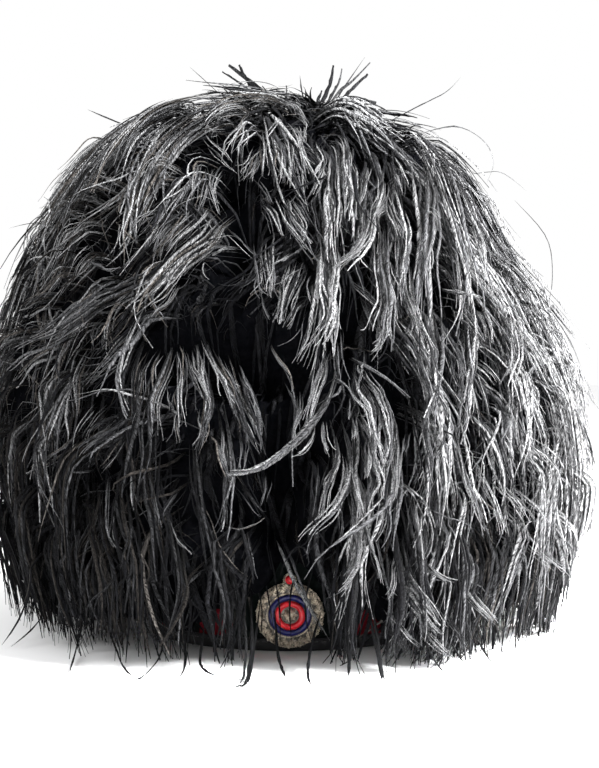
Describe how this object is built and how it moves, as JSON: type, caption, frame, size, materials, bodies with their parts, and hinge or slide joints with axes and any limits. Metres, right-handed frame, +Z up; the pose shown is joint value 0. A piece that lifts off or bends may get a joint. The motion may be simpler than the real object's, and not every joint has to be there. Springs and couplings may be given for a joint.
{
  "type": "feather bonnet",
  "caption": "Tall black ostrich-feather dress bonnet with a hollow cloth crown, hanging feather locks, diced head band, bound rim and a round bullion badge at the front.",
  "frame": {"origin": "on the table under the middle of the bonnet", "axes": "+Z up through the crown, the wearer's front and the badge towards -Y, +X to the viewer's right"},
  "size_m": [0.3588, 0.3929, 0.33],
  "materials": {
    "black_cloth": "matt black cloth",
    "diced_wool": "woven wool diced in red and dark green",
    "black_leather": "smooth black leather, worn",
    "feather": "black ostrich feather with a silvery sheen",
    "gilt": "tarnished gilt bullion wire",
    "red_enamel": "glossy red enamel",
    "blue_enamel": "glossy dark blue enamel"
  },
  "bodies": {
    "root": {"crown": "black_cloth", "diced_band": "diced_wool", "rim_binding": "black_leather", "feather_cap": "feather", "feather_upper": "feather", "feather_lower": "feather", "feather_hem": "feather", "badge_wreath": "gilt", "badge_blue": "blue_enamel", "badge_red": "red_enamel", "badge_star": "gilt", "badge_stone": "red_enamel"}
  },
  "joints": []
}
